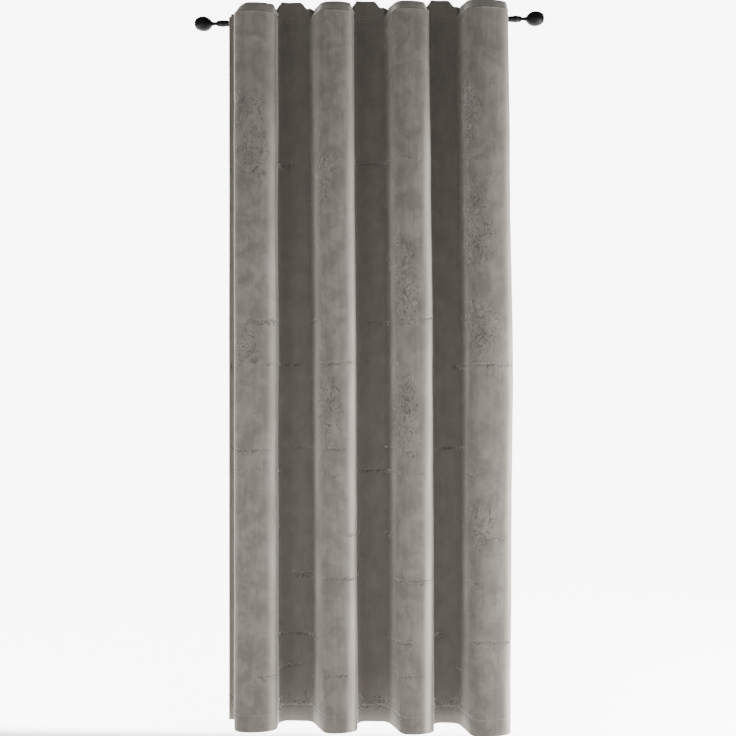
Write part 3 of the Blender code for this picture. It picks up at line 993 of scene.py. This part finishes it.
# A turned piece: a circle on the rod's axis, extruded and scaled along a profile of (x, radius)
def turnPiece(name, profile, capStart, closeTip):
    bpy.ops.object.select_all(action="DESELECT")
    startX, startRadius = profile[0]
    fill = "NGON" if capStart else "NOTHING"
    bpy.ops.mesh.primitive_circle_add(
        vertices=finial["sides"],
        radius=startRadius,
        fill_type=fill,
        location=(startX, 0, 0),
        rotation=(0, math.radians(90), 0),
    )
    bpy.ops.object.transform_apply(location=True, rotation=True, scale=True)
    obj = bpy.context.object
    obj.name = name
    bpy.ops.object.mode_set(mode="EDIT")
    bpy.ops.mesh.select_mode(type="VERT")
    bpy.ops.mesh.select_all(action="SELECT")
    for (x, radius), (nextX, nextRadius) in zip(profile, profile[1:]):
        bpy.ops.mesh.extrude_region_move(TRANSFORM_OT_translate={"value": (nextX - x, 0, 0)})
        share = nextRadius / radius
        bpy.ops.transform.resize(value=(1, share, share))
    if closeTip:
        bpy.ops.mesh.merge(type="CENTER")
    bpy.ops.mesh.select_all(action="SELECT")
    bpy.ops.mesh.remove_doubles(threshold=0.00001)
    bpy.ops.mesh.normals_make_consistent(inside=False)
    bpy.ops.object.mode_set(mode="OBJECT")
    obj.data.shade_smooth()
    obj.data.set_sharp_from_angle(angle=math.radians(38))
    return obj


def mirrored(obj, name):
    twin = obj.copy()
    twin.data = obj.data.copy()
    twin.name = name
    bpy.context.collection.objects.link(twin)
    for vertex in twin.data.vertices:
        vertex.co.x = -vertex.co.x
    twin.data.flip_normals()
    return twin


# Collar: a bead at each end with a barrel between them, and a sleeve inside that fits over the rod
start, end = finial["collarStart"], finial["collarEnd"]
collarProfile = [(start, finial["sleeve"]), (start, 0.0086), (start + 0.0006, 0.0092)]
collarProfile += [(start + 0.0026, 0.0092), (start + 0.0034, 0.0086), (start + 0.0044, 0.0086)]
for step in range(11):
    share = step / 10
    radius = 0.0087 + 0.0011 * math.sin(math.pi * share)
    collarProfile.append((start + 0.0056 + 0.0168 * share, radius))
collarProfile += [(end - 0.0052, 0.0084), (end - 0.0040, 0.0084), (end - 0.0032, 0.0090)]
collarProfile += [(end - 0.0010, 0.0090), (end - 0.0003, 0.0084), (end, 0.0074), (end, finial["bore"])]
collarProfile += [(finial["wallStart"], finial["bore"]), (finial["wallStart"], finial["sleeve"])]
collarProfile.append((start, finial["sleeve"]))

# Knob: the bore for its stud, a small bead, a thin neck, then the egg
begin = finial["knobStart"]
knobProfile = [(finial["holeEnd"], finial["bore"]), (begin, finial["bore"]), (begin, 0.0058)]
knobProfile += [(begin + 0.0005, 0.0064), (begin + 0.0022, 0.0064), (begin + 0.0032, 0.0052)]
knobProfile += [(begin + 0.0050, 0.0046), (begin + 0.0072, 0.0047), (begin + 0.0110, 0.0050)]
knobProfile.append((begin + 0.0140, 0.0056))
for step in range(2, finial["steps"] - 1):
    turn = math.pi * step / finial["steps"]
    power = 1.10 if turn < math.pi / 2 else 0.86
    radius = finial["eggRadius"] * math.sin(turn) ** power
    x = finial["eggStart"] + finial["eggLength"] * (1 - math.cos(turn)) / 2
    if radius > finial["neckRadius"]:
        knobProfile.append((x, radius))
knobProfile.append((finial["eggStart"] + finial["eggLength"] - 0.0004, 0.0028))

collarRight = turnPiece("finialCollarRight", collarProfile, False, False)
collarRight.data.materials.append(blackPaint)
knobRight = turnPiece("finialKnobRight", knobProfile, True, True)
knobRight.data.materials.append(blackResin)
finialPieces = {
    "collar_right": collarRight,
    "finial_right": knobRight,
    "collar_left": mirrored(collarRight, "finialCollarLeft"),
    "finial_left": mirrored(knobRight, "finialKnobLeft"),
}
for body, obj in finialPieces.items():
    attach(obj, body)
    side = body.split("_")[1]
    isKnob = body.startswith("finial")
    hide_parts(f"finial_knob_{side}" if isKnob else f"finial_collar_{side}")
print("finials: knob reaches", round(max(v.co.x for v in knobRight.data.vertices), 4))

for obj in [panel] + list(threads.values()):
    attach(obj, "panel")
    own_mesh(obj)

# Room and light: a glowing floor and a sky, bright behind and beside the panel and dim in front of it
stage = {
    "floorHeight": -2.096,
    "floorSize": 16.0,
    "floorGlow": 7.6,
    "frontGlow": 0.45,
    "worldBack": 8.0,
    "worldSide": 0.34,
    "worldFront": 0.30,
}
bpy.ops.object.select_all(action="DESELECT")
bpy.ops.mesh.primitive_plane_add(size=stage["floorSize"], location=(0, 0, stage["floorHeight"]))
floor = bpy.context.object
floor.name = "studioFloor"
# Opal acrylic floor, white, with a painted glow: dim in front of the panel and bright under and behind it, so
# that it lights the cloth from below and behind
floorFinish, floorTree, floorShader = newMaterial(
    "paintedGlowFloor",
    {"Base Color": linearColour("#f4f4f2"), "Roughness": 0.9, "Emission Color": (1.0, 1.0, 0.99, 1.0)},
)
spot = addNode(floorTree, "ShaderNodeTexCoord", (-900, -200))
parts = addNode(
    floorTree, "ShaderNodeSeparateXYZ", (-700, -200), None, None, {"Vector": spot.outputs["Object"]}
)
glow = addNode(
    floorTree,
    "ShaderNodeMapRange",
    (-500, -200),
    {"interpolation_type": "SMOOTHERSTEP"},
    {"From Min": -0.13, "From Max": -0.02, "To Min": stage["frontGlow"], "To Max": stage["floorGlow"]},
    {"Value": parts.outputs["Y"]},
)
floorTree.links.new(glow.outputs["Result"], floorShader.inputs["Emission Strength"])
floor.data.materials.append(floorFinish)

world = bpy.data.worlds.new("studio")
bpy.context.scene.world = world
world.use_nodes = True
sky = world.node_tree
background = sky.nodes["Background"]
background.inputs["Color"].default_value = (1.0, 1.0, 0.99, 1.0)
around = addNode(sky, "ShaderNodeTexCoord", (-1100, 0))
axes = addNode(sky, "ShaderNodeSeparateXYZ", (-900, 0), None, None, {"Vector": around.outputs["Generated"]})
sideLift = addNode(
    sky,
    "ShaderNodeMapRange",
    (-700, 100),
    {"interpolation_type": "SMOOTHSTEP"},
    {"From Min": -0.80, "From Max": 0.20, "To Min": stage["worldFront"], "To Max": stage["worldSide"]},
    {"Value": axes.outputs["Y"]},
)
backLift = addNode(
    sky,
    "ShaderNodeMapRange",
    (-700, 350),
    {"interpolation_type": "SMOOTHSTEP"},
    {"From Min": 0.62, "From Max": 0.85, "To Min": 0.0, "To Max": stage["worldBack"]},
    {"Value": axes.outputs["Y"]},
)
level = addNode(
    sky,
    "ShaderNodeMath",
    (-450, 200),
    {"operation": "ADD"},
    None,
    {0: sideLift.outputs["Result"], 1: backLift.outputs["Result"]},
)
sky.links.new(level.outputs["Value"], background.inputs["Strength"])

lights = [
    {"name": "leftSoftbox", "place": (-1.54, -1.84, -1.6), "size": 0.8, "tall": 0.9, "power": 15},
    {"name": "leftEdge", "place": (-2.32, -0.62, -1.6), "size": 0.8, "tall": 0.9, "power": 62},
    {"name": "rightFill", "place": (1.54, -1.84, -1.6), "size": 0.8, "tall": 0.9, "power": 6},
    {"name": "rightSoftbox", "place": (2.17, -1.01, -1.6), "size": 0.8, "tall": 0.9, "power": 84},
    {"name": "rightEdge", "place": (2.19, -0.19, -1.6), "size": 0.8, "tall": 0.9, "power": 104},
    {"name": "lowFront", "place": (0.2, -1.7, -1.78), "size": 2.6, "tall": 0.6, "power": 16},
]
for light in lights:
    data = bpy.data.lights.new(light["name"], "AREA")
    data.shape = "RECTANGLE"
    data.size = light["size"]
    data.size_y = light["tall"]
    data.energy = light["power"]
    obj = bpy.data.objects.new(light["name"], data)
    bpy.context.collection.objects.link(obj)
    obj.location = light["place"]
    aim = Vector((0, -0.05, -1.1)) - obj.location
    obj.rotation_euler = aim.to_track_quat("-Z", "Y").to_euler()
    obj.visible_camera = False

# Level camera at mid height, a little to the right of the middle
view = {"place": (0.097, -2.530, -1.032), "turn": 2.2, "lens": 41.6}
cameraData = bpy.data.cameras.new("frontCamera")
cameraData.lens = view["lens"]
cameraData.sensor_width = 36.0
camera = bpy.data.objects.new("frontCamera", cameraData)
bpy.context.collection.objects.link(camera)
camera.location = view["place"]
camera.rotation_euler = (math.radians(90), 0, math.radians(view["turn"]))
bpy.context.scene.camera = camera
